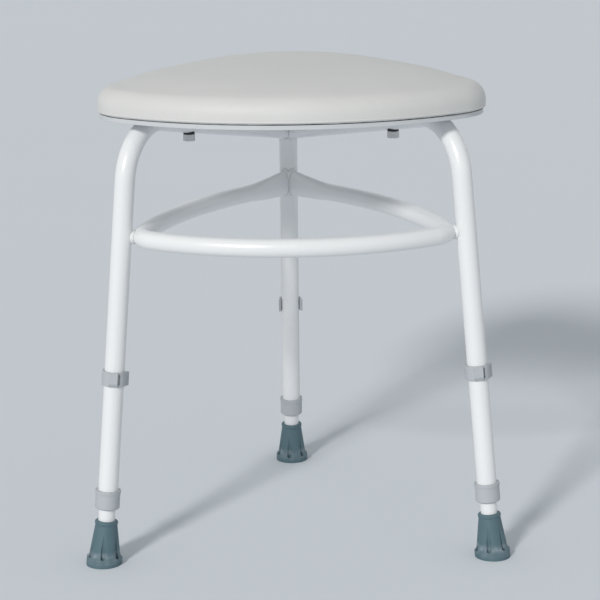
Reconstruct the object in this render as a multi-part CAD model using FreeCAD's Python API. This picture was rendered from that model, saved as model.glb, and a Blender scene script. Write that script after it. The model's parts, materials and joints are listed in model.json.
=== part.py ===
"""Corner shower stool: a padded seat on three splayed legs that lengthen in steps.

Millimetres, +Z up, origin on the floor under the middle of the outline, +Y towards the room's corner.
"""

import FreeCAD, Part
import math
import os

from FreeCAD import Placement, Rotation, Vector

# Legs
FOOT_CIRCLE_RADIUS = 215.0
LEG_SPLAY_DEG = 5.39
LEG_PLAN_DEG = {"front_left": 210.0, "front_right": 330.0, "rear": 90.0}
LEG_TUBE_DIAMETER = 19.1
LEG_TUBE_WALL = 1.3
INNER_LEG_GAP = 0.3
INNER_LEG_WALL = 1.2
SHORTEST_OVERLAP = 20.0

# Height setting
SETTING_PITCH = 25.4
SETTING_COUNT = 7
CLIP_HEIGHT_ON_LEG = 182.0

# Upper frame
CORNER_HEIGHT = 424.0
ARM_DROP = 50.0
BEND_RADIUS = 53.0
WELD_REACH = 2.0
MITRE_GAP = 0.2

# Footrest ring
RING_HEIGHT = 314.0
RING_TUBE_DIAMETER = 17.4
RING_TUBE_WALL = 1.3
RING_FRONT_REACH = 155.0
RING_FRONT_RADIUS = 218.0
RING_CORNER_RADIUS = 30.0
RING_SIDE_RADIUS = 450.0
RING_END_AHEAD = 6.5
RING_END_HEIGHT = 28.0
RING_END_THICKNESS = 7.0
RING_END_TAPER = 60.0
RING_TAPER_STEPS = 4
RING_END_RISE = 5.5
RING_LEG_GAP = 0.3

# Seat
SEAT_FRONT_REACH = 151.0
SEAT_REAR_REACH = 220.0
SEAT_FRONT_RADIUS = 237.0
SEAT_CORNER_X = 114.5
SEAT_CORNER_RADIUS = 70.0
SEAT_SIDE_RADIUS = 640.0
SEAT_REAR_RADIUS = 115.0
PAN_RIM_THICKNESS = 4.0
PAN_RIM_INSET = 3.0
PAN_RIM_WIDTH = 17.0
PAN_DEPTH = 5.5
PAN_CEILING = 3.5
PAN_WALL = 3.0
SEAT_FRAME_GAP = 0.3
CUSHION_PAN_GAP = 0.2
CUSHION_THICKNESS = 38.0
CUSHION_LIP_HEIGHT = 3.0
CUSHION_LIP_INSET = 1.6
CUSHION_WAIST_HEIGHT = 5.0
CUSHION_WAIST_INSET = 0.8
CUSHION_WAIST_TURN_DEG = -10.0
CUSHION_SHOULDER_HEIGHT = 25.0
CUSHION_SHOULDER_RADIUS = 10.0
CUSHION_SHOULDER_TURN_DEG = 60.0
CUSHION_CROWN_TURN_DEG = 77.0
CUSHION_SIDE_STEPS = 5
CUSHION_SHOULDER_STEPS = 2
CUSHION_CROWN_STEPS = 6

# Seat fixings
BOLT_DIAMETER = 6.0
BOLT_HOLE_CLEARANCE = 0.6
BOLT_HEAD_ACROSS_FLATS = 10.0
BOLT_HEAD_HEIGHT = 4.0
BOLT_CAP_HEIGHT = 6.5
BOLT_FROM_CORNER = 108.0
BOLT_PAST_NUT = 2.0
SADDLE_DIAMETER = 11.0
SADDLE_THICKNESS = 1.0
SPACER_DIAMETER = 16.0
TEE_NUT_FLANGE_DIAMETER = 18.0
TEE_NUT_FLANGE = 1.6
TEE_NUT_BARREL_DIAMETER = 8.0
TEE_NUT_GAP = 0.1
CUSHION_POCKET_GAP = 1.0
TOP_PLATE_WIDTH = 60.0
TOP_PLATE_DEPTH = 36.0
TOP_PLATE_FORWARD = 10.0
TOP_PLATE_THICKNESS = 3.0
TOP_PLATE_CORNER = 8.0
TOP_PLATE_BOLT_SPACING = 42.0

# Collars at the lower ends of the leg tubes
COLLAR_BOTTOM = 55.0
COLLAR_HEIGHT = 18.0
COLLAR_DIAMETER = 23.4
COLLAR_FLANGE = 3.0
COLLAR_RIM_DIAMETER = 24.4
COLLAR_RIM_HEIGHT = 2.2
COLLAR_EDGE = 1.0

# Ferrules
FERRULE_HEIGHT = 43.0
FERRULE_TOP_DIAMETER = 21.0
FERRULE_RIM_DIAMETER = 22.0
FERRULE_RIM_HEIGHT = 3.0
FERRULE_RIM_EDGE = 1.0
FERRULE_WAIST_DIAMETER = 29.0
FERRULE_BASE_DIAMETER = 34.0
FERRULE_BASE_HEIGHT = 8.5
FERRULE_BASE_CHAMFER = 1.8
FERRULE_SHOULDER_RISE = 2.5
FERRULE_FLOOR = 7.0
FERRULE_FLUTES = 6
FERRULE_TURN_DEG = {"front_left": -3.0, "front_right": -17.0, "rear": -12.0}
FLUTE_RADIUS = 2.3
FLUTE_DEPTH = 2.8
FERRULE_DISC_THICKNESS = 2.0

# Glides at the upper ends of the inner legs
GLIDE_HEAD = 4.0
GLIDE_PIN_GAP = 1.0
GLIDE_EDGE = 1.0
GLIDE_LEAD = 2.0

# Clips
CLIP_FACING_DEG = {"front_left": 254.0, "front_right": 254.0, "rear": 95.0}
CLIP_HEIGHT = 13.6
CLIP_WALL = 1.8
CLIP_GAP = 0.3
CLIP_ARM = 3.5
CLIP_LIP = 1.2
CLIP_PAD_WIDTH = 8.5
CLIP_PAD_PROUD = 2.0
CLIP_PAD_SLOPE = 3.0
CLIP_PAD_OFFSET_DEG = 15.0
CLIP_SLOT_WIDTH = 1.8
CLIP_SLOT_HEIGHT = 9.0
CLIP_PIN_DIAMETER = 6.0
CLIP_PIN_GAP = 0.3
CLIP_PIN_REACH = 3.5

# Sizes that follow
splay = math.radians(LEG_SPLAY_DEG)
leg_radius = LEG_TUBE_DIAMETER / 2
leg_bore_radius = leg_radius - LEG_TUBE_WALL
inner_leg_radius = leg_bore_radius - INNER_LEG_GAP
inner_leg_bore_radius = inner_leg_radius - INNER_LEG_WALL
ring_radius = RING_TUBE_DIAMETER / 2
ferrule_base_radius = FERRULE_BASE_DIAMETER / 2
tube_bottom = COLLAR_BOTTOM + COLLAR_FLANGE
inner_leg_bottom = FERRULE_FLOOR + FERRULE_DISC_THICKNESS
inner_leg_top = CLIP_HEIGHT_ON_LEG + SETTING_PITCH * (SETTING_COUNT - 1) + SHORTEST_OVERLAP
bolt_radius = BOLT_DIAMETER / 2
bolt_hole_radius = (BOLT_DIAMETER + BOLT_HOLE_CLEARANCE) / 2
pin_radius = CLIP_PIN_DIAMETER / 2
pin_hole_radius = pin_radius + CLIP_PIN_GAP
glide_plug = SHORTEST_OVERLAP - pin_hole_radius - GLIDE_PIN_GAP

# The legs' common centre stands behind or before the origin, so that the outline is centred on it
front_reach = RING_FRONT_REACH + ring_radius
rear_reach = FOOT_CIRCLE_RADIUS + ferrule_base_radius / math.cos(splay)
LEG_CENTRE = Vector(0, (front_reach - rear_reach) / 2, 0)

WORLD_UP = Vector(0, 0, 1)
FAR = 2000.0


def plan_direction(degrees):
    """Unit vector in plan at an angle from +X."""
    return Vector(math.cos(math.radians(degrees)), math.sin(math.radians(degrees)), 0)


def leg_placement(leg):
    """Where a leg's own frame lies: its Z runs up the leg and its X points away from the centre."""
    plan_angle = LEG_PLAN_DEG[leg]
    foot = LEG_CENTRE + plan_direction(plan_angle) * FOOT_CIRCLE_RADIUS
    turn = Rotation(WORLD_UP, plan_angle)
    lean = Rotation(Vector(0, 1, 0), -LEG_SPLAY_DEG)
    return Placement(foot, turn.multiply(lean))


def on_leg(leg, height):
    """Point of a leg's axis at a height above the floor."""
    along = height / math.cos(splay)
    return leg_placement(leg).multVec(Vector(0, 0, along))


def placed(shape, placement):
    """Copy of a shape moved from a leg's own frame to the stool's."""
    moved = shape.copy()
    moved.transformShape(placement.toMatrix(), True)
    return moved


def arc_edge(centre, radius, start_direction, end_direction):
    """Arc of under a half turn about a centre, between two unit directions."""
    middle = start_direction + end_direction
    middle.normalize()
    start = centre + start_direction * radius
    end = centre + end_direction * radius
    return Part.Arc(start, centre + middle * radius, end).toShape()


def unit(vector):
    """Copy of a vector, one long."""
    copy = Vector(vector)
    copy.normalize()
    return copy


def plan_meeting(centre_a, radius_a, centre_b, radius_b, turn):
    """Where two circles of a level plane cross, on the left (+1) or right (-1) of the way from a to b."""
    apart = centre_b - centre_a
    distance = apart.Length
    along = (radius_a ** 2 - radius_b ** 2 + distance ** 2) / (2 * distance)
    aside = math.sqrt(radius_a ** 2 - along ** 2)
    ahead = unit(apart)
    left = Vector(-ahead.y, ahead.x, 0)
    return centre_a + ahead * along + left * (aside * turn)


def rod(path, radius):
    """Round solid swept along a path of lines and tangent arcs."""
    start = path.Edges[0]
    tangent = start.tangentAt(start.FirstParameter)
    ring = Part.Wire(Part.makeCircle(radius, start.valueAt(start.FirstParameter), tangent))
    return path.makePipeShell([ring], True, False)


def cylinder(radius, bottom, top, base=None):
    """Upright cylinder between two heights of its own frame."""
    foot = Vector(0, 0, bottom) if base is None else Vector(base.x, base.y, bottom)
    return Part.makeCylinder(radius, top - bottom, foot, WORLD_UP)


def turned(points):
    """Solid of revolution about Z from (radius, height) points."""
    outline = [Vector(radius, 0, height) for radius, height in points]
    face = Part.Face(Part.makePolygon(outline + outline[:1]))
    return face.revolve(Vector(0, 0, 0), WORLD_UP, 360)


def half_space(side):
    """Large block on the left (-1) or right (+1) of the middle plane, short of it by half the mitre gap."""
    left = MITRE_GAP / 2 if side > 0 else -FAR - MITRE_GAP / 2
    return Part.makeBox(FAR, 2 * FAR, 2 * FAR, Vector(left, -FAR, -FAR))


def leg_rod(leg, radius, bottom, top):
    """Cylinder about a leg's axis, between two distances along it."""
    return placed(cylinder(radius, bottom, top), leg_placement(leg))


# Front leg tubes: up the leg, round a bend of a little over a right angle, back to the rear leg
class FrontLeg:
    """Centreline of a front leg and its arm."""

    def __init__(self, leg):
        self.leg = leg
        self.side = -1 if leg == "front_left" else 1
        self.corner = on_leg(leg, CORNER_HEIGHT)
        self.arm_end = on_leg("rear", CORNER_HEIGHT - ARM_DROP)
        self.up = unit(self.corner - on_leg(leg, 0))
        self.arm = unit(self.arm_end - self.corner)
        half_turn = self.up.getAngle(self.arm) / 2
        setback = BEND_RADIUS * math.tan(half_turn)
        self.bend_start = self.corner - self.up * setback
        self.bend_end = self.corner + self.arm * setback
        inward = unit(self.arm - self.up)
        self.bend_centre = self.corner + inward * (BEND_RADIUS / math.cos(half_turn))

    def path(self, bottom):
        """Wire from a distance along the leg to the rear leg's axis."""
        start = leg_placement(self.leg).multVec(Vector(0, 0, bottom))
        middle = self.bend_centre + unit(self.corner - self.bend_centre) * BEND_RADIUS
        upright = Part.LineSegment(start, self.bend_start).toShape()
        bend = Part.Arc(self.bend_start, middle, self.bend_end).toShape()
        arm = Part.LineSegment(self.bend_end, self.arm_end).toShape()
        return Part.Wire([upright, bend, arm])

    def top(self):
        """Height of the bend's highest point, on the tube's outside."""
        normal = self.up.cross(self.arm)
        normal.normalize()
        rise = math.sqrt(1 - normal.z ** 2)
        return self.bend_centre.z + BEND_RADIUS * rise + leg_radius

    def bolt_point(self):
        """Point of the arm's axis where the seat bolt crosses it."""
        return self.corner + self.arm * BOLT_FROM_CORNER

    def half_drop(self):
        """Half height of a level tube's section, cut upright across the sloping arm."""
        return leg_radius / math.sqrt(1 - self.arm.z ** 2)


FRONT_LEGS = [FrontLeg("front_left"), FrontLeg("front_right")]

# The pan's ceiling lies on the bends of the front legs, and its rim hangs round them
base_bottom = FRONT_LEGS[0].top() + SEAT_FRAME_GAP
base_top = base_bottom + PAN_CEILING
rim_bottom = base_bottom - PAN_DEPTH
rim_top = rim_bottom + PAN_RIM_THICKNESS
cushion_top = rim_top + CUSHION_THICKNESS
plate_bottom = base_bottom - TOP_PLATE_THICKNESS
plate_centre = on_leg("rear", plate_bottom) - Vector(0, TOP_PLATE_FORWARD, 0)


def clip_turn(leg):
    """Turn about a leg's axis that brings +X to the clip's pin."""
    return Rotation(WORLD_UP, CLIP_FACING_DEG[leg] - LEG_PLAN_DEG[leg])


def clip_placement(leg):
    """Where a clip's own frame lies: its X runs out along the pin."""
    raised = Placement(Vector(0, 0, CLIP_HEIGHT_ON_LEG), clip_turn(leg))
    return leg_placement(leg).multiply(raised)


def pin_hole(leg, drop):
    """Cutter for a clip's hole through one wall, a distance up the leg from the lowest setting."""
    hole = Part.makeCylinder(pin_hole_radius, leg_radius + CLIP_WALL, Vector(0, 0, drop), Vector(1, 0, 0))
    return placed(hole, clip_placement(leg))


def upright_hole(point, radius, bottom, top):
    """Cutter for an upright hole over a point of the plan."""
    return cylinder(radius, bottom, top, point)


def front_leg_tube(front_leg):
    """Hollow front leg with its arm, mitred at the middle and fitted to the rear leg."""
    solid = rod(front_leg.path(tube_bottom), leg_radius)
    hollow = solid.cut(rod(front_leg.path(tube_bottom), leg_bore_radius))
    mitred = hollow.common(half_space(front_leg.side))
    fitted = mitred.cut(leg_rod("rear", leg_radius, 0, FAR))
    fitted = max(fitted.Solids, key=lambda piece: piece.Volume)
    drilled = fitted.cut(pin_hole(front_leg.leg, 0))
    bolt = front_leg.bolt_point()
    return drilled.cut(upright_hole(bolt, bolt_hole_radius, bolt.z - FAR, bolt.z + FAR))


def rear_leg_tube():
    """Hollow straight leg, cut level under its top plate."""
    tall = leg_rod("rear", leg_radius, tube_bottom, FAR)
    hollow = tall.cut(leg_rod("rear", leg_bore_radius, tube_bottom, FAR))
    below_plate = Part.makeBox(2 * FAR, 2 * FAR, plate_bottom, Vector(-FAR, -FAR, 0))
    return hollow.common(below_plate).cut(pin_hole("rear", 0))


def arm_rods(radius):
    """Both arms as plain rods from their bends to the rear leg's axis."""
    rods = []
    for front_leg in FRONT_LEGS:
        arm = Part.LineSegment(front_leg.bend_end, front_leg.arm_end).toShape()
        rods.append(rod(Part.Wire([arm]), radius))
    return rods


def arm_welds():
    """Beads where both arms meet the rear leg."""
    leg_bead = leg_rod("rear", leg_radius + WELD_REACH, tube_bottom, FAR)
    left, right = arm_rods(leg_radius + WELD_REACH)
    bead = leg_bead.common(left.fuse(right))
    bead = bead.cut(leg_rod("rear", leg_radius, 0, FAR))
    for arm in arm_rods(leg_radius):
        bead = bead.cut(arm)
    return bead


# Footrest ring: a bowed front bar, a tight bend inside each front leg, side bars back to the rear leg
class RingPath:
    """Right-hand half of the ring's centreline."""

    def __init__(self):
        front_leg = on_leg("front_right", RING_HEIGHT)
        rear_leg = on_leg("rear", RING_HEIGHT)
        level = Vector(0, 0, RING_HEIGHT)
        self.front = LEG_CENTRE + level + Vector(0, RING_FRONT_RADIUS - RING_FRONT_REACH, 0)
        to_leg = leg_radius / math.cos(splay) + ring_radius + RING_LEG_GAP
        self.corner = plan_meeting(self.front, RING_FRONT_RADIUS - RING_CORNER_RADIUS,
                                   front_leg, RING_CORNER_RADIUS + to_leg, -1)
        self.end = rear_leg - Vector(0, RING_END_AHEAD, 0)
        self.side = plan_meeting(self.corner, RING_SIDE_RADIUS - RING_CORNER_RADIUS,
                                 self.end, RING_SIDE_RADIUS, 1)
        self.touch = self.corner + unit(front_leg - self.corner) * RING_CORNER_RADIUS
        self.leg_point = front_leg

    def side_direction(self, back):
        """Unit direction from the side arc's centre to its point a distance back from the end."""
        to_end = unit(self.end - self.side)
        return Rotation(WORLD_UP, -math.degrees(back / RING_SIDE_RADIUS)).multVec(to_end)

    def round_wire(self):
        """Front arc from the middle, corner bend, side arc as far as the round tube goes."""
        to_corner = unit(self.corner - self.front)
        to_side = unit(self.corner - self.side)
        front = arc_edge(self.front, RING_FRONT_RADIUS, Vector(0, -1, 0), to_corner)
        corner = arc_edge(self.corner, RING_CORNER_RADIUS, to_corner, to_side)
        side = arc_edge(self.side, RING_SIDE_RADIUS, to_side, self.side_direction(RING_END_TAPER))
        return Part.Wire([front, corner, side])


RING = RingPath()


def ring_section(back, share, shrink):
    """Ellipse across a side bar: round where the taper starts (share 0), flattened at the end (1)."""
    outward = RING.side_direction(back)
    centre = RING.side + outward * RING_SIDE_RADIUS + WORLD_UP * (RING_END_RISE * share ** 2)
    half_height = ring_radius + (RING_END_HEIGHT / 2 - ring_radius) * share - shrink
    half_width = ring_radius + (RING_END_THICKNESS / 2 - ring_radius) * share - shrink
    if half_height > half_width:
        ellipse = Part.Ellipse(Vector(0, 0, 0), half_height, half_width)
        across = Rotation(WORLD_UP, outward, WORLD_UP.cross(outward), "XYZ")
        section = ellipse.toShape()
        section.Placement = Placement(centre, across)
        return Part.Wire([section])
    return Part.Wire(Part.makeCircle(half_height, centre, WORLD_UP.cross(outward)))


def ring_rod(shrink):
    """Whole ring as a solid bar, its surface drawn in (or, below 0, let out) by a shrink."""
    keep = Part.makeBox(FAR, 2 * FAR, 2 * FAR, Vector(0, -FAR, -FAR))
    shares = [step / RING_TAPER_STEPS for step in range(RING_TAPER_STEPS + 1)]
    sections = [ring_section(RING_END_TAPER * (1 - share), share, shrink) for share in shares]
    right = rod(RING.round_wire(), ring_radius - shrink).fuse(Part.makeLoft(sections, True, False))
    right = right.common(keep)
    left = right.mirror(Vector(0, 0, 0), Vector(1, 0, 0))
    return right.fuse(left).removeSplitter()


def footrest_ring():
    """Hollow ring, flattened where it is pressed round the front of the rear leg."""
    hollow = ring_rod(0).cut(ring_rod(RING_TUBE_WALL))
    fitted = hollow.cut(leg_rod("rear", leg_radius, 0, FAR))
    return max(fitted.Solids, key=lambda piece: piece.Volume)


def footrest_front_welds():
    """Short webs that join the ring's bends to the front legs."""
    reach = RING.leg_point - RING.touch
    web = Part.makeCylinder(ring_radius - WELD_REACH, reach.Length, RING.touch, unit(reach))
    web = web.cut(leg_rod("front_right", leg_radius, 0, FAR))
    web = web.cut(ring_rod(0))
    web = min(web.Solids, key=lambda piece: piece.CenterOfMass.distanceToPoint(RING.touch))
    return Part.makeCompound([web, web.mirror(Vector(0, 0, 0), Vector(1, 0, 0))])


def footrest_rear_weld():
    """Beads where the ring meets the rear leg."""
    bead = leg_rod("rear", leg_radius + WELD_REACH, 0, FAR).common(ring_rod(-WELD_REACH))
    bead = bead.cut(leg_rod("rear", leg_radius, 0, FAR))
    return bead.cut(ring_rod(0))


# Seat
class SeatOutline:
    """Rounded triangle of six tangent arcs: a bowed front, two corners, two sides and a rear corner."""

    def __init__(self):
        self.front = LEG_CENTRE + Vector(0, SEAT_FRONT_RADIUS - SEAT_FRONT_REACH, 0)
        corner_reach = SEAT_FRONT_RADIUS - SEAT_CORNER_RADIUS
        corner_back = math.sqrt(corner_reach ** 2 - SEAT_CORNER_X ** 2)
        self.corner = self.front + Vector(SEAT_CORNER_X, -corner_back, 0)
        self.rear = LEG_CENTRE + Vector(0, SEAT_REAR_REACH - SEAT_REAR_RADIUS, 0)
        self.middle = LEG_CENTRE + Vector(0, (SEAT_REAR_REACH - SEAT_FRONT_REACH) / 2, 0)
        self.side = plan_meeting(self.corner, SEAT_SIDE_RADIUS - SEAT_CORNER_RADIUS,
                                 self.rear, SEAT_SIDE_RADIUS - SEAT_REAR_RADIUS, 1)

    def wire(self, inset, height):
        """Closed outline drawn in by an inset, at a height."""
        level = Vector(0, 0, height)
        mirrored = [Vector(-centre.x, centre.y, 0) for centre in (self.corner, self.side)]
        corner_left, side_left = mirrored
        front_right = unit(self.corner - self.front)
        side_front = unit(self.corner - self.side)
        side_rear = unit(self.rear - self.side)
        front_left, left_front, left_rear = [Vector(-way.x, way.y, 0)
                                             for way in (front_right, side_front, side_rear)]
        edges = [
            arc_edge(self.front + level, SEAT_FRONT_RADIUS - inset, front_left, front_right),
            arc_edge(self.corner + level, SEAT_CORNER_RADIUS - inset, front_right, side_front),
            arc_edge(self.side + level, SEAT_SIDE_RADIUS - inset, side_front, side_rear),
            arc_edge(self.rear + level, SEAT_REAR_RADIUS - inset, side_rear, left_rear),
            arc_edge(side_left + level, SEAT_SIDE_RADIUS - inset, left_rear, left_front),
            arc_edge(corner_left + level, SEAT_CORNER_RADIUS - inset, left_front, front_left),
        ]
        return Part.Wire(edges)


SEAT = SeatOutline()


def plate_bolt_points():
    """Places of the two bolts of the rear leg's top plate."""
    half = TOP_PLATE_BOLT_SPACING / 2
    return [plate_centre + Vector(-half, 0, 0), plate_centre + Vector(half, 0, 0)]


def arm_bolt_points():
    """Places where the bolts of the arms cross the arms' axes."""
    return [front_leg.bolt_point() for front_leg in FRONT_LEGS]


def seat_layer(inset, bottom, top):
    """Slab of the seat's outline, drawn in by an inset, between two heights."""
    return Part.Face(SEAT.wire(inset, bottom)).extrude(Vector(0, 0, top - bottom))


def seat_base():
    """Moulded pan: a level rim round a raised ceiling that takes the frame, drilled for the tee nuts."""
    hollow_inset = PAN_RIM_INSET + PAN_RIM_WIDTH
    pan = seat_layer(PAN_RIM_INSET, rim_bottom, rim_top)
    pan = pan.fuse(seat_layer(hollow_inset - PAN_WALL, rim_bottom, base_top))
    pan = pan.cut(seat_layer(hollow_inset, rim_bottom, base_bottom)).removeSplitter()
    hole_radius = TEE_NUT_BARREL_DIAMETER / 2 + TEE_NUT_GAP
    for point in arm_bolt_points() + plate_bolt_points():
        pan = pan.cut(upright_hole(point, hole_radius, rim_bottom - FAR, base_top + FAR))
    return pan


def rounding(start, radius, from_deg, to_deg, steps):
    """(inset, height) points of an arc that goes on from a start while its outward normal rises."""
    inset, height = start
    first = math.radians(from_deg)
    points = []
    for step in range(1, steps + 1):
        turn = math.radians(from_deg + (to_deg - from_deg) * step / steps)
        points.append((inset + radius * (math.cos(first) - math.cos(turn)),
                       height + radius * (math.sin(turn) - math.sin(first))))
    return points


def cushion_side():
    """(inset, height) of the cushion's side: lip, drawn-in waist, bulged side and tight shoulder."""
    waist_sine, shoulder_sine, crown_sine = [math.sin(math.radians(degrees)) for degrees in (
        CUSHION_WAIST_TURN_DEG, CUSHION_SHOULDER_TURN_DEG, CUSHION_CROWN_TURN_DEG)]
    shoulder_rise = CUSHION_SHOULDER_RADIUS * (crown_sine - shoulder_sine)
    side_rise = CUSHION_SHOULDER_HEIGHT - CUSHION_WAIST_HEIGHT - shoulder_rise
    side_radius = side_rise / (shoulder_sine - waist_sine)
    points = [
        (CUSHION_LIP_INSET, rim_top),
        (0, rim_top + CUSHION_LIP_HEIGHT),
        (CUSHION_WAIST_INSET, rim_top + CUSHION_WAIST_HEIGHT),
    ]
    points += rounding(points[-1], side_radius, CUSHION_WAIST_TURN_DEG,
                       CUSHION_SHOULDER_TURN_DEG, CUSHION_SIDE_STEPS)
    points += rounding(points[-1], CUSHION_SHOULDER_RADIUS, CUSHION_SHOULDER_TURN_DEG,
                       CUSHION_CROWN_TURN_DEG, CUSHION_SHOULDER_STEPS)
    return points


def cushion_crown(edge_inset, edge_height):
    """Outlines of the crown: its edge shrunk towards the seat's middle while it rises and levels off."""
    wires = []
    for step in range(1, CUSHION_CROWN_STEPS + 1):
        left = 1 - step / (CUSHION_CROWN_STEPS + 1)
        height = cushion_top - (cushion_top - edge_height) * left ** 3
        ring = SEAT.wire(edge_inset, height)
        ring.scale(left, SEAT.middle + Vector(0, 0, height))
        wires.append(ring)
    return wires


def seat_cushion():
    """Crowned pad over the pan, with pockets for the tee nuts."""
    side = cushion_side()
    wires = [SEAT.wire(inset, height) for inset, height in side]
    pad = Part.makeLoft(wires + cushion_crown(*side[-1]), True, True)
    raised_inset = PAN_RIM_INSET + PAN_RIM_WIDTH - PAN_WALL - CUSHION_PAN_GAP
    pad = pad.cut(seat_layer(raised_inset, rim_bottom, base_top + CUSHION_PAN_GAP))
    pocket_radius = TEE_NUT_FLANGE_DIAMETER / 2 + CUSHION_POCKET_GAP
    pocket_top = base_top + TEE_NUT_FLANGE + BOLT_PAST_NUT + CUSHION_POCKET_GAP
    for point in arm_bolt_points() + plate_bolt_points():
        pad = pad.cut(upright_hole(point, pocket_radius, base_bottom, pocket_top))
    return pad


def tee_nut(point):
    """Flanged nut let into the board from above."""
    bore = upright_hole(point, bolt_radius + TEE_NUT_GAP, base_bottom, base_top + FAR)
    flange = upright_hole(point, TEE_NUT_FLANGE_DIAMETER / 2, base_top, base_top + TEE_NUT_FLANGE)
    barrel = upright_hole(point, TEE_NUT_BARREL_DIAMETER / 2, base_bottom, base_top)
    return barrel.fuse(flange).removeSplitter().cut(bore)


def hex_bolt(point, head_top, head_height):
    """Hexagon-head bolt from under its seat up through the tee nut."""
    corner_radius = BOLT_HEAD_ACROSS_FLATS / math.sqrt(3)
    corners = [Vector(point.x, point.y, head_top) + plan_direction(60 * step) * corner_radius
               for step in range(6)]
    head = Part.Face(Part.makePolygon(corners + corners[:1])).extrude(Vector(0, 0, -head_height))
    tip = base_top + TEE_NUT_FLANGE + BOLT_PAST_NUT
    return head.fuse(upright_hole(point, bolt_radius, head_top, tip)).removeSplitter()


def saddle(front_leg):
    """Plastic washer hollowed to the arm's underside, under the bolt's head side."""
    point = front_leg.bolt_point()
    bottom = point.z - front_leg.half_drop() - SADDLE_THICKNESS
    block = upright_hole(point, SADDLE_DIAMETER / 2, bottom, point.z)
    for arm in arm_rods(leg_radius):
        block = block.cut(arm)
    return block.cut(upright_hole(point, bolt_hole_radius, bottom - FAR, point.z))


def spacer(front_leg):
    """Plastic block between the arm's top and the seat board."""
    point = front_leg.bolt_point()
    block = upright_hole(point, SPACER_DIAMETER / 2, point.z, base_bottom)
    for arm in arm_rods(leg_radius):
        block = block.cut(arm)
    return block.cut(upright_hole(point, bolt_hole_radius, point.z, base_bottom + FAR))


def arm_bolt(front_leg):
    """Capped bolt up through saddle, arm, spacer and board."""
    point = front_leg.bolt_point()
    return hex_bolt(point, point.z - front_leg.half_drop() - SADDLE_THICKNESS, BOLT_CAP_HEIGHT)


def rear_top_plate():
    """Rounded plate on the rear leg's end, drilled for two bolts."""
    low = plate_centre - Vector(TOP_PLATE_WIDTH / 2, TOP_PLATE_DEPTH / 2, 0)
    block = Part.makeBox(TOP_PLATE_WIDTH, TOP_PLATE_DEPTH, TOP_PLATE_THICKNESS, low)
    upright = [edge for edge in block.Edges if edge.BoundBox.ZLength > TOP_PLATE_THICKNESS / 2]
    plate = block.makeFillet(TOP_PLATE_CORNER, upright)
    for point in plate_bolt_points():
        plate = plate.cut(upright_hole(point, bolt_hole_radius, plate_bottom - FAR, base_bottom + FAR))
    return plate


# Pieces of every leg, each drawn in the leg's own frame
def collar():
    """Sleeve over the tube's end, with a flange that guides the inner leg and a thin flared rim."""
    outer = COLLAR_DIAMETER / 2
    rim = COLLAR_RIM_DIAMETER / 2
    top = COLLAR_BOTTOM + COLLAR_HEIGHT
    guide = inner_leg_radius + INNER_LEG_GAP
    return turned([
        (guide, COLLAR_BOTTOM), (outer - COLLAR_EDGE, COLLAR_BOTTOM), (outer, COLLAR_BOTTOM + COLLAR_EDGE),
        (outer, top - 2 * COLLAR_RIM_HEIGHT), (rim, top - COLLAR_RIM_HEIGHT), (rim, top),
        (leg_radius, top), (leg_radius, tube_bottom), (guide, tube_bottom),
    ])


def inner_leg(leg):
    """Tube with a row of setting holes, the lowest one behind the clip."""
    hollow = cylinder(inner_leg_radius, inner_leg_bottom, inner_leg_top)
    hollow = hollow.cut(cylinder(inner_leg_bore_radius, inner_leg_bottom, inner_leg_top))
    tube = placed(hollow, leg_placement(leg))
    for setting in range(SETTING_COUNT):
        tube = tube.cut(pin_hole(leg, setting * SETTING_PITCH))
    return tube


def glide():
    """Plug in the inner leg's upper end, clear of the last pin hole; its head runs in the leg tube."""
    plug_bottom = inner_leg_top - glide_plug
    head_top = inner_leg_top + GLIDE_HEAD
    return turned([
        (0, plug_bottom), (inner_leg_bore_radius - GLIDE_EDGE, plug_bottom),
        (inner_leg_bore_radius, plug_bottom + GLIDE_LEAD), (inner_leg_bore_radius, inner_leg_top),
        (inner_leg_radius, inner_leg_top), (inner_leg_radius, head_top - GLIDE_EDGE),
        (inner_leg_radius - GLIDE_EDGE, head_top), (0, head_top),
    ])


def ferrule_disc():
    """Steel disc between the inner leg's end and the ferrule's floor."""
    return cylinder(inner_leg_radius, FERRULE_FLOOR, inner_leg_bottom)


def ferrule(leg):
    """Rubber foot: a fluted cone over a wide base, cut level with the floor."""
    top = FERRULE_TOP_DIAMETER / 2
    rim = FERRULE_RIM_DIAMETER / 2
    waist = FERRULE_WAIST_DIAMETER / 2
    ledge = FERRULE_BASE_HEIGHT
    rim_bottom = FERRULE_HEIGHT - FERRULE_RIM_HEIGHT
    below = -FERRULE_BASE_DIAMETER * math.sin(splay)
    foot = turned([
        (0, below), (ferrule_base_radius, below), (ferrule_base_radius, ledge - FERRULE_BASE_CHAMFER),
        (ferrule_base_radius - FERRULE_BASE_CHAMFER, ledge), (waist, ledge + FERRULE_SHOULDER_RISE),
        (top, rim_bottom - FERRULE_RIM_EDGE), (rim, rim_bottom),
        (rim, FERRULE_HEIGHT - FERRULE_RIM_EDGE), (rim - FERRULE_RIM_EDGE, FERRULE_HEIGHT),
        (inner_leg_radius, FERRULE_HEIGHT), (inner_leg_radius, FERRULE_FLOOR), (0, FERRULE_FLOOR),
    ])
    flute_centre = waist - FLUTE_DEPTH + FLUTE_RADIUS
    flute_bottom = ledge - FERRULE_BASE_CHAMFER
    flute = cylinder(FLUTE_RADIUS, flute_bottom, rim_bottom, Vector(flute_centre, 0, 0))
    for step in range(FERRULE_FLUTES):
        angle = FERRULE_TURN_DEG[leg] + 360 * step / FERRULE_FLUTES
        foot = foot.cut(placed(flute, Placement(Vector(0, 0, 0), Rotation(WORLD_UP, angle))))
    standing = placed(foot, leg_placement(leg))
    above_floor = Part.makeBox(2 * FAR, 2 * FAR, FAR, Vector(-FAR, -FAR, 0))
    return standing.common(above_floor)


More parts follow.
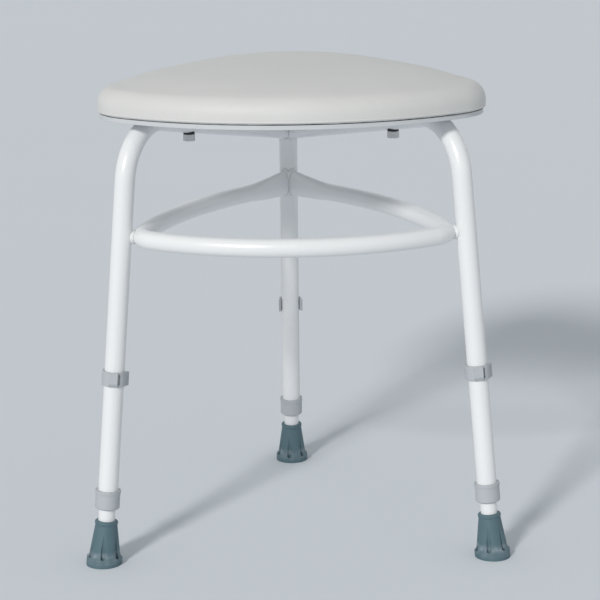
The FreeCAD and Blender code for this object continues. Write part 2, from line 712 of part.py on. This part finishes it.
def clip_pad(inside, outside):
    """Thumb pad on the band's front, flat-faced, its lower edge sloped off."""
    low = -CLIP_HEIGHT / 2
    half = CLIP_PAD_WIDTH / 2
    root = math.sqrt(outside ** 2 - half ** 2) - CLIP_WALL / 2
    face = outside + CLIP_PAD_PROUD
    side = [(root, low), (outside, low), (face, low + CLIP_PAD_SLOPE), (face, -low), (root, -low)]
    corners = [Vector(x, -half, z) for x, z in side]
    pad = Part.Face(Part.makePolygon(corners + corners[:1])).extrude(Vector(0, CLIP_PAD_WIDTH, 0))
    slot = Part.makeBox(outside, CLIP_SLOT_WIDTH, CLIP_SLOT_HEIGHT, Vector(0, half, -CLIP_SLOT_HEIGHT / 2))
    turn = Placement(Vector(0, 0, 0), Rotation(WORLD_UP, CLIP_PAD_OFFSET_DEG))
    return placed(pad, turn), placed(slot, turn)


def clip():
    """Sprung band half round the tube, with straight arms, flared ends, a thumb pad, a slot and a pin."""
    inside = leg_radius + CLIP_GAP
    outside = inside + CLIP_WALL
    low = -CLIP_HEIGHT / 2
    ring = cylinder(outside, low, -low).cut(cylinder(inside, low, -low))
    front = Part.makeBox(FAR, 2 * FAR, 2 * FAR, Vector(0, -FAR, -FAR))
    band = ring.common(front)
    for side in (-1, 1):
        plan = [(0, inside), (-CLIP_ARM, inside), (-CLIP_ARM - CLIP_LIP, inside + CLIP_LIP),
                (-CLIP_ARM - CLIP_LIP, outside + CLIP_LIP), (-CLIP_ARM, outside), (0, outside)]
        corners = [Vector(x, side * y, low) for x, y in plan]
        arm = Part.Face(Part.makePolygon(corners + corners[:1])).extrude(Vector(0, 0, CLIP_HEIGHT))
        band = band.fuse(arm)
    pad, slot = clip_pad(inside, outside)
    pin = Part.makeCylinder(pin_radius, inside + CLIP_WALL / 2 - CLIP_PIN_REACH,
                            Vector(CLIP_PIN_REACH, 0, 0), Vector(1, 0, 0))
    return band.cut(slot).fuse(pad).fuse(pin).removeSplitter()


def write(node, shape):
    """Save one piece, and say how many solids it has."""
    shape.exportStep("parts/" + node + ".step")
    print(node, "solids", len(shape.Solids), "valid", shape.isValid(), "volume", round(shape.Volume, 1))


def main():
    os.makedirs("parts", exist_ok=True)
    write("seat_cushion", seat_cushion())
    write("seat_base", seat_base())
    nuts = [tee_nut(point) for point in arm_bolt_points() + plate_bolt_points()]
    write("seat_tee_nuts", Part.makeCompound(nuts))
    for front_leg in FRONT_LEGS:
        write(front_leg.leg + "_leg_tube", front_leg_tube(front_leg))
    write("rear_leg_tube", rear_leg_tube())
    write("rear_top_plate", rear_top_plate())
    write("arm_welds", arm_welds())
    write("footrest_ring", footrest_ring())
    write("footrest_front_welds", footrest_front_welds())
    write("footrest_rear_weld", footrest_rear_weld())
    write("arm_seat_bolts", Part.makeCompound([arm_bolt(front_leg) for front_leg in FRONT_LEGS]))
    write("arm_bolt_saddles", Part.makeCompound([saddle(front_leg) for front_leg in FRONT_LEGS]))
    write("arm_seat_spacers", Part.makeCompound([spacer(front_leg) for front_leg in FRONT_LEGS]))
    rear_bolts = [hex_bolt(point, plate_bottom, BOLT_HEAD_HEIGHT) for point in plate_bolt_points()]
    write("rear_seat_bolts", Part.makeCompound(rear_bolts))
    for leg in LEG_PLAN_DEG:
        here = leg_placement(leg)
        write(leg + "_collar", placed(collar(), here))
        write(leg + "_inner_leg", inner_leg(leg))
        write(leg + "_glide", placed(glide(), here))
        write(leg + "_ferrule", ferrule(leg))
        write(leg + "_ferrule_disc", placed(ferrule_disc(), here))
        write(leg + "_clip", placed(clip(), clip_placement(leg)))


main()
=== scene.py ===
import json
import math

import bmesh
import bpy
import numpy
from mathutils import Matrix, Vector
from mathutils.geometry import convex_hull_2d


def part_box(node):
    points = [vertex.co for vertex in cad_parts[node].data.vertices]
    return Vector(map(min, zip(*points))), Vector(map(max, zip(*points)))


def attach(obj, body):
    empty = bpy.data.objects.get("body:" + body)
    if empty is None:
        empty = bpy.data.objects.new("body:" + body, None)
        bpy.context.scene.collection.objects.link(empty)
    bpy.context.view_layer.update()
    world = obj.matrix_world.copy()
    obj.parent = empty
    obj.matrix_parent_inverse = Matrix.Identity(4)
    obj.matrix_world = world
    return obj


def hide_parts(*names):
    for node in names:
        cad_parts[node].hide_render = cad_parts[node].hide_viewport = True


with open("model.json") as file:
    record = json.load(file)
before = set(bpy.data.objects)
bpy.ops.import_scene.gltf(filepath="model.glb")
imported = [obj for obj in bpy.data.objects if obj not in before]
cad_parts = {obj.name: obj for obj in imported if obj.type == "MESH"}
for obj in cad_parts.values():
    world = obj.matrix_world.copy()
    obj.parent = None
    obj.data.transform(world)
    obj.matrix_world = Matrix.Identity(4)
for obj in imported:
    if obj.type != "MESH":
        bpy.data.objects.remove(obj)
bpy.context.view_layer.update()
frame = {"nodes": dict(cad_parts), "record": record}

# View of the stool
CAMERA_PLACE = Vector((-0.03505, -1.9623, 0.6713))
CAMERA_YAW_DEG = -1.2335
CAMERA_PITCH_DEG = 12.878
CAMERA_ROLL_DEG = -0.7
CAMERA_LENS = 120.45
CAMERA_SENSOR = 36.0

# Light and floor
KEY_AZIMUTH_DEG = -28.0
KEY_ELEVATION_DEG = 28.0
KEY_STRENGTH = 1.85
KEY_SPREAD_DEG = 9.0
KEY_COLOUR = (1.0, 0.985, 0.96)
SKY_COLOUR = (0.93, 0.97, 1.0)
SKY_LIGHT = 0.43
SKY_SEEN = 0.78
FLOOR_COLOUR = (0.78, 0.82, 0.86)
FLOOR_MOTTLE = 0.985
FLOOR_RADIUS = 40.0
FLOOR_SIDES = 96

# Paler sharp edges (a painted highlight, on the ferrules partly wear too), and a painted highlight in a band
# round the ferrules' shoulder, by shares of the band's height
EDGE_SAMPLES = 6
EDGE_HIGHLIGHT_PALER = 1.2
FERRULE_BAND = 0.02
FERRULE_SHOULDER_HIGHLIGHT = [(0.0, 0.0), (0.12, 0.0), (0.18, 0.3), (0.42, 0.35), (0.5, 0.8), (0.62, 0.7), (0.75, 0.0)]

# Padded seat
OUTLINE_POINTS = 288
OUTLINE_ABOVE_RIM = 0.009
OUTLINE_INSET = 0.0005
WELD_DISTANCE = 0.00005
PAD_VOXEL = 0.004
PAD_SMOOTHING = 3
SMOOTHING_SHARE = 0.5
CROWN_SMOOTHING = 80
CROWN_UPWARD = 0.955
PAD_QUALITY = 6
PAD_PRESSURE = 4.0
PAD_DAMPING = 4.0
PAD_FRAMES = 20
PAD_EVENING = 120
PAD_SWELL_LIMIT = 0.0025
PAD_HELD_BELOW = 0.004
PAD_HELD_FACING = -0.5
PAD_GROOVE = 0.002
LIP_PROFILE_MM = [
    (9.0, 1.4), (2.6, 1.4), (1.3, 1.6), (0.6, 2.2), (0.3, 3.0),
    (0.5, 3.8), (1.1, 4.4), (2.6, 4.9), (9.0, 5.0),
]


class Socket:
    """An output of a node, with the arithmetic that adds Math nodes to its tree."""

    def __init__(self, nodes, socket):
        self.nodes = nodes
        self.socket = socket

    def maths(self, operation, first, second):
        return self.nodes.node("ShaderNodeMath", {"operation": operation}, {0: first, 1: second})

    def __add__(self, other):
        return self.maths("ADD", self, other)

    __radd__ = __add__

    def __sub__(self, other):
        return self.maths("SUBTRACT", self, other)

    def __rsub__(self, other):
        return self.maths("SUBTRACT", other, self)

    def __mul__(self, other):
        return self.maths("MULTIPLY", self, other)

    __rmul__ = __mul__


class Nodes:
    """A tree of shader nodes in the making."""

    def __init__(self, tree):
        self.tree = tree
        tree.nodes.clear()

    def node(self, kind, settings=None, values=None, output=0):
        """Adds a node: its settings first, then the values or links of its sockets."""
        made = self.tree.nodes.new(kind)
        for name, value in (settings or {}).items():
            if name == "stops":
                self.set_stops(made.color_ramp.elements, value)
            else:
                setattr(made, name, value)
        for name, value in (values or {}).items():
            if isinstance(value, Socket):
                self.tree.links.new(value.socket, made.inputs[name])
            else:
                made.inputs[name].default_value = value
        return Socket(self, made.outputs[output]) if made.outputs else None

    @staticmethod
    def set_stops(elements, stops):
        while len(elements) < len(stops):
            elements.new(1.0)
        for element, (position, grey) in zip(elements, stops):
            element.position = position
            element.color = (grey, grey, grey, 1.0)


class Finish(Nodes):
    """A material in the making."""

    def __init__(self, name):
        self.material = bpy.data.materials.new(name)
        self.material.use_nodes = True
        super().__init__(self.material.node_tree)
        self.place = self.node("ShaderNodeTexCoord", output="Object")

    def noise(self, size, detail=2.0, stretch=(1.0, 1.0, 1.0)):
        """Noise whose blotches are about a size across, in metres."""
        scaled = self.node("ShaderNodeMapping", values={"Vector": self.place, "Scale": stretch})
        return self.node("ShaderNodeTexNoise", values={"Vector": scaled, "Scale": 1 / size, "Detail": detail},
                         output="Fac")

    def cells(self, size):
        """Distance from the edges of cells about a size across, in metres."""
        return self.node("ShaderNodeTexVoronoi", {"feature": "DISTANCE_TO_EDGE"},
                         {"Vector": self.place, "Scale": 1 / size}, output="Distance")

    def height(self):
        """Height above the floor."""
        return self.node("ShaderNodeSeparateXYZ", values={0: self.place}, output="Z")

    def ramp(self, factor, stops):
        """Greys spread over a factor's range."""
        return self.node("ShaderNodeValToRGB", {"stops": stops}, {"Fac": factor})

    def mix(self, factor, first, second):
        """A colour between two others."""
        colours = [c if isinstance(c, Socket) else (*c, 1.0) for c in (first, second)]
        return self.node("ShaderNodeMix", {"data_type": "RGBA"},
                         {0: factor, 6: colours[0], 7: colours[1]}, output=2)

    def rounded(self, radius):
        """Normal of a surface with its sharp edges rounded off."""
        return self.node("ShaderNodeBevel", {"samples": EDGE_SAMPLES}, {"Radius": radius})

    def edges(self, radius):
        """Near 1 along sharp edges, 0 on open faces."""
        plain = self.node("ShaderNodeNewGeometry", output="Normal")
        likeness = self.node("ShaderNodeVectorMath", {"operation": "DOT_PRODUCT"},
                             {0: self.rounded(radius), 1: plain}, output="Value")
        return self.ramp(1 - likeness, [(0.02, 0.0), (0.25, 1.0)])

    def relief(self, height, depth, radius):
        """Normal of a surface with a relief of some depth and rounded edges."""
        return self.node("ShaderNodeBump",
                         values={"Height": height, "Distance": depth, "Normal": self.rounded(radius)})

    def surface(self, values):
        """Ends the material in a surface of these values."""
        shader = self.node("ShaderNodeBsdfPrincipled", values=values)
        self.node("ShaderNodeOutputMaterial", values={"Surface": shader})
        return self.material


def powder_coat():
    """White paint on the tubes: a faint orange peel under gloss, a little greyer in patches."""
    paint = Finish("white_powder_coat")
    patches = paint.noise(0.06, 3)
    peel = paint.noise(0.0022, 1)
    return paint.surface({
        "Base Color": paint.mix(patches, (0.83, 0.84, 0.85), (0.87, 0.875, 0.88)),
        "Roughness": 0.24 + 0.12 * patches,
        "Coat Weight": 0.25,
        "Coat Roughness": 0.12,
        "Normal": paint.relief(peel, 0.00012, 0.0006),
    })


def weld_bead():
    """The same paint over the ripples of a weld."""
    paint = Finish("weld_bead")
    ripples = paint.noise(0.0035, 2)
    return paint.surface({
        "Base Color": paint.mix(ripples, (0.80, 0.81, 0.82), (0.86, 0.865, 0.87)),
        "Roughness": 0.28 + 0.14 * ripples,
        "Coat Weight": 0.25,
        "Coat Roughness": 0.12,
        "Normal": paint.relief(ripples, 0.0008, 0.0012),
    })


def seat_vinyl():
    """Pale soft vinyl: fine grain, slight mottling."""
    vinyl = Finish("seat_vinyl")
    mottle = vinyl.noise(0.05, 4)
    grain = vinyl.cells(0.0014) + 0.5 * vinyl.noise(0.0006, 2)
    return vinyl.surface({
        "Base Color": vinyl.mix(mottle, (0.66, 0.655, 0.64), (0.72, 0.715, 0.70)),
        "Roughness": 0.46 + 0.12 * mottle,
        "Specular IOR Level": 0.4,
        "Normal": vinyl.relief(grain, 0.00010, 0.0004),
    })


def moulded_plastic(name, dark, light, roughness):
    """Satin moulded plastic: cloudy tone, fine spark-eroded texture, with a painted highlight along its sharp
    edges.
    """
    plastic = Finish(name)
    cloud = plastic.noise(0.018, 3)
    texture = plastic.noise(0.0005, 2)
    edge_highlight = tuple(EDGE_HIGHLIGHT_PALER * channel for channel in light)
    return plastic.surface({
        # Paler along sharp edges: a painted highlight.
        "Base Color": plastic.mix(0.6 * plastic.edges(0.0007), plastic.mix(cloud, dark, light), edge_highlight),
        "Roughness": roughness + 0.12 * cloud,
        "Normal": plastic.relief(texture, 0.00006, 0.0007),
    })


def ferrule_rubber():
    """Slate-grey rubber: matt, pitted, with a patchy painted highlight on the base's shoulder, and edges
    paler partly from wear and partly as a painted highlight.
    """
    rubber = Finish("ferrule_rubber")
    cloud = rubber.noise(0.012, 4)
    pits = rubber.noise(0.0007, 3)
    tone = rubber.mix(cloud, (0.074, 0.134, 0.162), (0.102, 0.170, 0.200))
    # A patchy band of painted highlight round the base's shoulder, by height.
    shoulder_highlight = rubber.ramp(rubber.height() * (1 / FERRULE_BAND), FERRULE_SHOULDER_HIGHLIGHT)
    patches = rubber.ramp(rubber.noise(0.006, 3), [(0.35, 0.15), (0.65, 1.0)])
    tone_and_shoulder_highlight = rubber.mix(shoulder_highlight * patches, tone, (0.27, 0.32, 0.36))
    return rubber.surface({
        # Paler along sharp edges: partly wear, partly a painted highlight.
        "Base Color": rubber.mix(0.5 * rubber.edges(0.0008), tone_and_shoulder_highlight, (0.24, 0.29, 0.33)),
        "Roughness": 0.5 + 0.2 * cloud,
        "Normal": rubber.relief(pits, 0.00012, 0.0008),
    })


def black_rubber():
    """Black rubber of the saddles, whose black also paints the shade between the arm and the bolt head."""
    rubber = Finish("black_rubber")
    cloud = rubber.noise(0.006, 3)
    return rubber.surface({
        # Black: partly the saddle's own colour, partly painted shade over the bolt heads.
        "Base Color": rubber.mix(cloud, (0.015, 0.015, 0.018), (0.035, 0.036, 0.040)),
        "Roughness": 0.6 + 0.15 * cloud,
        "Normal": rubber.relief(rubber.noise(0.0006, 2), 0.00008, 0.0004),
    })


def zinc_steel():
    """Zinc-plated steel: bright, streaked, cloudy."""
    steel = Finish("zinc_steel")
    cloud = steel.noise(0.009, 4)
    streaks = steel.noise(0.0008, 2, (1.0, 1.0, 0.08))
    return steel.surface({
        "Base Color": steel.mix(cloud, (0.54, 0.55, 0.55), (0.68, 0.69, 0.68)),
        "Metallic": 1.0,
        "Roughness": 0.30 + 0.18 * cloud,
        "Normal": steel.relief(streaks, 0.00004, 0.0004),
    })


def finishes():
    """Materials by the name of the slot that they finish."""
    return {
        "white_powder_coat": powder_coat(),
        "weld_bead": weld_bead(),
        "seat_vinyl": seat_vinyl(),
        "pan_plastic": moulded_plastic("pan_plastic", (0.57, 0.59, 0.61), (0.64, 0.66, 0.68), 0.40),
        "grey_plastic": moulded_plastic("grey_plastic", (0.44, 0.465, 0.49), (0.50, 0.525, 0.55), 0.38),
        "bolt_cap_grey": moulded_plastic("bolt_cap_grey", (0.60, 0.61, 0.62), (0.68, 0.69, 0.70), 0.36),
        "black_rubber": black_rubber(),
        "ferrule_rubber": ferrule_rubber(),
        "zinc_steel": zinc_steel(),
    }


def paint_nodes(materials):
    """Gives every solid of the frame the finish of its slot, and the welds their own."""
    for piece in frame["record"]["subparts"]:
        mesh = frame["nodes"][piece["node"]].data
        finish = "weld_bead" if "weld" in piece["node"] else piece["material_slot"]
        mesh.materials.clear()
        mesh.materials.append(materials[finish])


def new_piece(name, shell, material):
    """Makes an object of a mesh under way, and lets it ride on the frame."""
    mesh = bpy.data.meshes.new(name)
    shell.to_mesh(mesh)
    shell.free()
    mesh.materials.append(material)
    piece = bpy.data.objects.new(name, mesh)
    bpy.context.scene.collection.objects.link(piece)
    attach(piece, "frame")
    return piece


def shade_smooth(piece):
    for face in piece.data.polygons:
        face.use_smooth = True


def round_off(piece):
    """Subdivides a piece once."""
    rounding = piece.modifiers.new("rounding", "SUBSURF")
    rounding.levels = 1
    rounding.render_levels = 1


def settle(piece):
    """Applies a piece's modifiers to its mesh."""
    evaluated = piece.evaluated_get(bpy.context.evaluated_depsgraph_get())
    mesh = bpy.data.meshes.new_from_object(evaluated)
    piece.modifiers.clear()
    piece.data = mesh


def cad_copy(node):
    """A node's mesh under way, with its loose triangles joined."""
    shell = bmesh.new()
    shell.from_mesh(frame["nodes"][node].data)
    bmesh.ops.remove_doubles(shell, verts=shell.verts, dist=WELD_DISTANCE)
    return shell


def seat_outline():
    """Evenly spaced (point, inward direction) pairs round the seat's outline."""
    shell = cad_copy("seat_cushion")
    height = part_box("seat_cushion")[0].z + OUTLINE_ABOVE_RIM
    everything = shell.verts[:] + shell.edges[:] + shell.faces[:]
    cut = bmesh.ops.bisect_plane(shell, geom=everything, plane_co=(0, 0, height), plane_no=(0, 0, 1))
    section = [item.co.xy for item in cut["geom_cut"] if isinstance(item, bmesh.types.BMVert)]
    corners = [section[index].copy() for index in convex_hull_2d(section)]
    shell.free()
    return with_inward(spread_evenly(corners, OUTLINE_POINTS))


def spread_evenly(corners, count):
    """Points at even distances along a closed line."""
    sides = list(zip(corners, corners[1:] + corners[:1]))
    step = sum((end - start).length for start, end in sides) / count
    points = []
    walked = 0.0
    for start, end in sides:
        length = (end - start).length
        while len(points) < count and len(points) * step <= walked + length:
            share = (len(points) * step - walked) / length
            points.append(start.lerp(end, share))
        walked += length
    return points


def with_inward(points):
    """Pairs of each point, let out to the widest line, with the direction towards the inside."""
    middle = sum(points, Vector((0, 0))) / len(points)
    pairs = []
    for before, point, after in zip(points[-1:] + points[:-1], points, points[1:] + points[:1]):
        along = (after - before).normalized()
        inward = Vector((-along.y, along.x))
        if inward.dot(middle - point) < 0:
            inward = -inward
        pairs.append((point - inward * OUTLINE_INSET, inward))
    return pairs


def ring_of_profile(outline, profile):
    """Closed ring of a profile of (inset, height) points carried round the outline."""
    shell = bmesh.new()
    loops = []
    for inset, height in profile:
        verts = [shell.verts.new((*(point + inward * inset), height)) for point, inward in outline]
        loops.append([shell.edges.new(pair) for pair in zip(verts, verts[1:] + verts[:1])])
    for lower, upper in zip(loops, loops[1:] + loops[:1]):
        bmesh.ops.bridge_loops(shell, edges=lower + upper)
    bmesh.ops.recalc_face_normals(shell, faces=shell.faces)
    return shell


def seat_lip(outline, vinyl):
    """The cover's rolled edge, just above the pan's rim."""
    rim_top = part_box("seat_cushion")[0].z
    profile = [(inset / 1000, rim_top + height / 1000) for inset, height in LIP_PROFILE_MM]
    lip = new_piece("seat_cover_lip", ring_of_profile(outline, profile), vinyl)
    round_off(lip)
    shade_smooth(lip)
    return lip


def swell(pad, held_below):
    """Blows a pad up against its held edge and underside, evenly, and not far from where it was."""
    held = pad.vertex_groups.new(name="held")
    fixed = {vert.index for vert in pad.data.vertices
             if vert.co.z < held_below or vert.normal.z < PAD_HELD_FACING}
    held.add(sorted(fixed), 1.0, "REPLACE")
    cloth = pad.modifiers.new("swell", "CLOTH")
    cloth.settings.quality = PAD_QUALITY
    cloth.settings.air_damping = PAD_DAMPING
    cloth.settings.use_pressure = True
    cloth.settings.uniform_pressure_force = PAD_PRESSURE
    cloth.settings.effector_weights.gravity = 0
    cloth.settings.vertex_group_mass = held.name
    cloth.point_cache.frame_start = 1
    cloth.point_cache.frame_end = PAD_FRAMES
    for step in range(1, PAD_FRAMES + 1):
        bpy.context.scene.frame_set(step)
    blown = pad.evaluated_get(bpy.context.evaluated_depsgraph_get()).data
    moves = [after.co - before.co for before, after in zip(pad.data.vertices, blown.vertices)]
    pad.modifiers.clear()
    pad.vertex_groups.clear()
    for vert, move in zip(pad.data.vertices, evened(pad.data, moves)):
        if move.length > PAD_SWELL_LIMIT:
            move *= PAD_SWELL_LIMIT / move.length
        if vert.index not in fixed:
            vert.co += move
    bpy.context.scene.frame_set(1)


def evened(mesh, moves):
    """Moves of a mesh's points, each averaged with its neighbours' again and again."""
    ends = numpy.array([edge.vertices[:] for edge in mesh.edges])
    values = numpy.array(moves)
    shares = 1.0 + numpy.bincount(ends.ravel(), minlength=len(values))[:, None]
    for _ in range(PAD_EVENING):
        total = values.copy()
        numpy.add.at(total, ends[:, 0], values[ends[:, 1]])
        numpy.add.at(total, ends[:, 1], values[ends[:, 0]])
        values = total / shares
    return [Vector(value) for value in values]


def smooth_over(piece, rounds, least_upward=-1.0):
    """Evens out a mesh where it faces upwards at least so far."""
    shell = bmesh.new()
    shell.from_mesh(piece.data)
    chosen = [vert for vert in shell.verts if vert.normal.z >= least_upward]
    for _ in range(rounds):
        bmesh.ops.smooth_vert(shell, verts=chosen, factor=SMOOTHING_SHARE,
                              use_axis_x=True, use_axis_y=True, use_axis_z=True)
    shell.to_mesh(piece.data)
    shell.free()


def fill_out(pad, node, from_height):
    """Brings a pad out to the solid that it stands for, wherever smoothing drew it inside."""
    free = pad.vertex_groups.new(name="free")
    free.add([vert.index for vert in pad.data.vertices if vert.co.z > from_height], 1.0, "REPLACE")
    wrap = pad.modifiers.new("full", "SHRINKWRAP")
    wrap.target = frame["nodes"][node]
    wrap.wrap_method = "NEAREST_SURFACEPOINT"
    wrap.wrap_mode = "OUTSIDE"
    wrap.vertex_group = free.name
    settle(pad)
    pad.vertex_groups.clear()


def seat_pad(vinyl):
    """Crowned foam pad under vinyl, blown taut."""
    pad = new_piece("seat_pad", cad_copy("seat_cushion"), vinyl)
    remesh = pad.modifiers.new("even", "REMESH")
    remesh.mode = "VOXEL"
    remesh.voxel_size = PAD_VOXEL
    settle(pad)
    smooth_over(pad, PAD_SMOOTHING)
    swell(pad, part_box("seat_cushion")[0].z + PAD_HELD_BELOW)
    smooth_over(pad, CROWN_SMOOTHING, CROWN_UPWARD)
    fill_out(pad, "seat_cushion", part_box("seat_cushion")[0].z + PAD_GROOVE)
    round_off(pad)
    settle(pad)
    shade_smooth(pad)
    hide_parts("seat_cushion")
    return pad


def floor():
    """Wide pale floor, which stays under the rear foot when the legs are let out."""
    shell = bmesh.new()
    bmesh.ops.create_circle(shell, cap_ends=True, segments=FLOOR_SIDES, radius=FLOOR_RADIUS)
    mesh = bpy.data.meshes.new("floor")
    shell.to_mesh(mesh)
    shell.free()
    ground = bpy.data.objects.new("floor", mesh)
    bpy.context.scene.collection.objects.link(ground)
    paint = Finish("floor_paint")
    clouds = paint.noise(0.6, 2)
    darker = tuple(channel * FLOOR_MOTTLE for channel in FLOOR_COLOUR)
    mesh.materials.append(paint.surface({
        "Base Color": paint.mix(clouds, darker, FLOOR_COLOUR),
        "Roughness": 0.85,
        "Specular IOR Level": 0.2,
    }))
    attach(ground, "rear_extension")


def sky():
    """Even light all round, seen paler than it lights."""
    world = bpy.data.worlds.new("studio")
    bpy.context.scene.world = world
    world.use_nodes = True
    studio = Nodes(world.node_tree)
    camera_ray, glossy_ray, clear_ray = [
        studio.node("ShaderNodeLightPath", output=name)
        for name in ("Is Camera Ray", "Is Glossy Ray", "Is Transmission Ray")]
    lit, seen = [
        studio.node("ShaderNodeBackground", values={"Color": (*SKY_COLOUR, 1.0), "Strength": strength})
        for strength in (SKY_LIGHT, SKY_SEEN)]
    looked_at = camera_ray + glossy_ray + clear_ray
    both = studio.node("ShaderNodeMixShader", values={0: looked_at, 1: lit, 2: seen})
    studio.node("ShaderNodeOutputWorld", values={"Surface": both})


def key_light():
    """Large soft light from above the viewer's left shoulder."""
    lamp = bpy.data.lights.new("key", "SUN")
    lamp.energy = KEY_STRENGTH
    lamp.angle = math.radians(KEY_SPREAD_DEG)
    lamp.color = KEY_COLOUR
    azimuth = math.radians(KEY_AZIMUTH_DEG)
    elevation = math.radians(KEY_ELEVATION_DEG)
    towards = Vector((math.sin(azimuth) * math.cos(elevation), -math.cos(azimuth) * math.cos(elevation),
                      math.sin(elevation)))
    light = bpy.data.objects.new("key", lamp)
    light.rotation_mode = "QUATERNION"
    light.rotation_quaternion = towards.to_track_quat("Z", "Y")
    bpy.context.scene.collection.objects.link(light)


def camera():
    """Long lens, a little above the seat, looking down."""
    data = bpy.data.cameras.new("view")
    data.lens = CAMERA_LENS
    data.sensor_width = CAMERA_SENSOR
    yaw, pitch, roll = [math.radians(angle) for angle in (CAMERA_YAW_DEG, CAMERA_PITCH_DEG, CAMERA_ROLL_DEG)]
    ahead = Vector((-math.sin(yaw) * math.cos(pitch), math.cos(yaw) * math.cos(pitch), -math.sin(pitch)))
    level = Vector((math.cos(yaw), math.sin(yaw), 0))
    above = level.cross(ahead)
    right = level * math.cos(roll) + above * math.sin(roll)
    up = above * math.cos(roll) - level * math.sin(roll)
    view = bpy.data.objects.new("view", data)
    view.matrix_world = Matrix.Translation(CAMERA_PLACE) @ Matrix((right, up, -ahead)).transposed().to_4x4()
    bpy.context.scene.collection.objects.link(view)
    bpy.context.scene.camera = view


materials = finishes()
paint_nodes(materials)
seat_pad(materials["seat_vinyl"])
seat_lip(seat_outline(), materials["seat_vinyl"])
floor()
sky()
key_light()
camera()
bpy.context.scene.view_settings.view_transform = "Standard"
